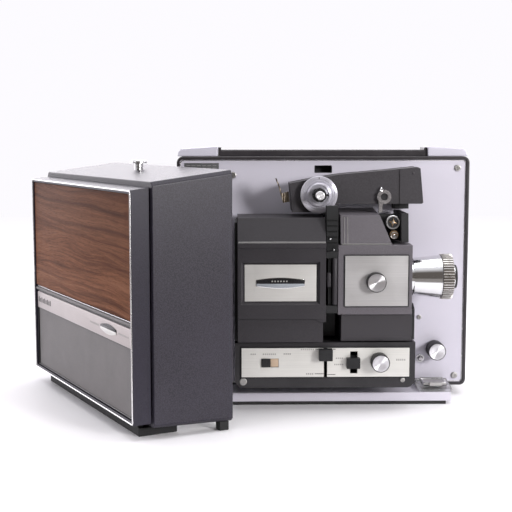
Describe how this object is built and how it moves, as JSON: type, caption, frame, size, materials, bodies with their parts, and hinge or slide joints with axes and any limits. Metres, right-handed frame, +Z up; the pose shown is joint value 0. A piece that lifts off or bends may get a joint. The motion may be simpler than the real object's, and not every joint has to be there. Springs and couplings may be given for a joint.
{
  "type": "film projector",
  "caption": "Portable dual-gauge film projector with folding reel arms, lamp house, lens, control panel and a detached wood-fronted case cover.",
  "frame": {"origin": "on the table under the middle of the front plate's front face, on the front foot strip", "axes": "+X to the right along the front plate, -Y towards the user, +Z up"},
  "size_m": [0.4318, 0.2852, 0.2418],
  "materials": {
    "case_grain": "fine pebble grain, matt",
    "bezel_black": "smooth satin",
    "plate_silver": "fine metallic paint, satin",
    "cap_silver": "fine metallic paint, satin",
    "rubber_black": "matt",
    "handle_black": "satin",
    "housing_grey": "fine wrinkle paint",
    "gate_grey": "fine wrinkle paint, lighter",
    "mech_black": "matt",
    "chrome": "polished",
    "steel": "turned",
    "brass": "worn",
    "glass": "clear, coated",
    "ceramic": "glazed ceramic",
    "silver_face": "fine brushed, anodised",
    "panel_grey": "moulded",
    "control_black": "moulded",
    "knob_metal": "spun face, dark fluted side",
    "clear_plastic": "clear moulded",
    "winding": "enamelled copper",
    "lamination": "stacked sheet",
    "cover_grain": "pebble grain, matt",
    "trim_silver": "bright",
    "wood": "walnut grain film",
    "lower_grey": "fine satin"
  },
  "bodies": {
    "projector": {"case_shell": "case_grain", "front_bezel": "bezel_black", "front_plate": "plate_silver", "catch_socket": "mech_black", "base_ledge": "plate_silver", "front_foot_strip": "rubber_black", "rear_feet": "rubber_black", "handle_end_caps": "cap_silver", "screws": "steel", "power_inlet": "control_black", "mechanism_frame": "mech_black", "lamp_socket": "ceramic", "projection_lamp": "glass", "condenser_lens": "glass", "film_guide": "mech_black", "film_gate": "mech_black", "sprocket_shoe": "brass", "sprocket_housing": "mech_black", "gate_housing": "gate_grey", "gate_plate": "silver_face", "control_panel": "panel_grey", "control_face": "silver_face", "film_trimmer_base": "clear_plastic", "motor_body": "lamination", "transformer": "winding", "drive_belt": "rubber_black"},
    "handle": {"handle_bar": "handle_black"},
    "reel_arm": {"reel_arm": "housing_grey", "supply_belt": "rubber_black", "arm_catch": "brass"},
    "supply_reel_drive": {"supply_disc": "steel", "supply_spindle": "control_black"},
    "arm_latch": {"arm_latch": "chrome"},
    "take_up_arm": {"take_up_arm": "housing_grey"},
    "take_up_reel_drive": {"take_up_spindle": "steel"},
    "lamp_house": {"lamp_house": "housing_grey", "lamp_house_plate": "silver_face"},
    "focus_knob": {"focus_knob": "knob_metal"},
    "lens": {"lens_barrel": "chrome", "lens_glass": "glass"},
    "zoom_ring": {"zoom_ring": "steel"},
    "motor_drive": {"motor_rotor": "steel", "cooling_fan": "control_black"},
    "shutter": {"shutter": "mech_black"},
    "sprocket": {"sprocket": "chrome"},
    "power_switch": {"power_switch": "control_black"},
    "format_lever": {"format_lever": "control_black"},
    "still_lever": {"still_lever": "control_black"},
    "speed_knob": {"speed_knob": "knob_metal"},
    "mode_knob": {"mode_knob": "knob_metal"},
    "lamp_button": {"lamp_button": "chrome"},
    "trimmer_blade": {"film_trimmer_blade": "steel"},
    "cover": {"cover_shell": "cover_grain", "cover_frame": "cover_grain", "cover_trim": "trim_silver", "cover_wood_panel": "wood", "cover_nameplate": "trim_silver", "cover_lower_panel": "lower_grey", "cover_plinth": "bezel_black"},
    "cover_latch": {"cover_latch_knob": "chrome"}
  },
  "joints": [
    {"name": "handle_lift", "type": "slide", "parent": "projector", "child": "handle", "axis": [0, 0, 1], "range_m": [0, 0.02]},
    {"name": "reel_arm_swing", "type": "hinge", "parent": "projector", "child": "reel_arm", "pos_m": [0.074, -0.03, 0.2015], "axis": [0, 1, 0], "range_deg": [0, 120]},
    {"name": "supply_spin", "type": "hinge", "parent": "reel_arm", "child": "supply_reel_drive", "pos_m": [-0.008, -0.04, 0.1986], "axis": [0, 1, 0], "continuous": true},
    {"name": "arm_latch_turn", "type": "hinge", "parent": "reel_arm", "child": "arm_latch", "pos_m": [0.052, -0.044, 0.1966], "axis": [0, 1, 0], "range_deg": [0, 35]},
    {"name": "take_up_arm_swing", "type": "hinge", "parent": "projector", "child": "take_up_arm", "pos_m": [-0.112, -0.025, 0.062], "axis": [0, 1, 0], "range_deg": [-45, 0]},
    {"name": "take_up_spin", "type": "hinge", "parent": "take_up_arm", "child": "take_up_reel_drive", "pos_m": [-0.112, -0.035, 0.166], "axis": [0, 1, 0], "continuous": true},
    {"name": "lamp_house_pull", "type": "slide", "parent": "projector", "child": "lamp_house", "axis": [0, -1, 0], "range_m": [0, 0.08]},
    {"name": "focus_turn", "type": "hinge", "parent": "projector", "child": "focus_knob", "pos_m": [0.0424, -0.07, 0.1212], "axis": [0, 1, 0], "range_deg": [-120, 120]},
    {"name": "lens_focus", "type": "slide", "parent": "projector", "child": "lens", "axis": [1, 0, 0], "range_m": [-0.0022, 0.0022]},
    {"name": "zoom_turn", "type": "hinge", "parent": "lens", "child": "zoom_ring", "pos_m": [0.11, -0.045, 0.1225], "axis": [1, 0, 0], "range_deg": [-45, 45]},
    {"name": "motor_spin", "type": "hinge", "parent": "projector", "child": "motor_drive", "pos_m": [0.02, 0.048, 0.08], "axis": [1, 0, 0], "continuous": true},
    {"name": "shutter_spin", "type": "hinge", "parent": "projector", "child": "shutter", "pos_m": [-0.02, -0.041, 0.0975], "axis": [1, 0, 0], "continuous": true},
    {"name": "sprocket_spin", "type": "hinge", "parent": "projector", "child": "sprocket", "pos_m": [0.059, -0.03, 0.1738], "axis": [0, 1, 0], "continuous": true},
    {"name": "power_slide", "type": "slide", "parent": "projector", "child": "power_switch", "axis": [1, 0, 0], "range_m": [0, 0.0073]},
    {"name": "format_slide", "type": "slide", "parent": "projector", "child": "format_lever", "axis": [0, 0, -1], "range_m": [0, 0.02]},
    {"name": "still_slide", "type": "slide", "parent": "projector", "child": "still_lever", "axis": [0, 0, 1], "range_m": [-0.0055, 0.0055]},
    {"name": "speed_turn", "type": "hinge", "parent": "projector", "child": "speed_knob", "pos_m": [0.0472, -0.066, 0.047], "axis": [0, 1, 0], "range_deg": [-135, 135]},
    {"name": "mode_turn", "type": "hinge", "parent": "projector", "child": "mode_knob", "pos_m": [0.1094, 0, 0.0458], "axis": [0, 1, 0], "range_deg": [-60, 60]},
    {"name": "lamp_button_push", "type": "slide", "parent": "projector", "child": "lamp_button", "axis": [0, 1, 0], "range_m": [0, 0.0025], "stiffness_N_per_m": 300, "springref_m": -0.001},
    {"name": "trimmer_lift", "type": "hinge", "parent": "projector", "child": "trimmer_blade", "pos_m": [0.1053, -0.0084, 0.0178], "axis": [-1, 0, 0], "range_deg": [0, 55]},
    {"name": "cover_off", "type": "slide", "parent": "projector", "child": "cover", "axis": [-0.891, -0.454, 0], "range_m": [0, 0.1]},
    {"name": "cover_latch_press", "type": "slide", "parent": "cover", "child": "cover_latch", "axis": [0, 0, -1], "range_m": [0, 0.004], "stiffness_N_per_m": 400, "springref_m": -0.001}
  ],
  "couplings": [
    {"joint": "focus_turn", "follows": "lens_focus", "rad_per_m": 950},
    {"joint": "shutter_spin", "follows": "motor_spin", "ratio": 0.6},
    {"joint": "sprocket_spin", "follows": "motor_spin", "ratio": 0.05}
  ]
}
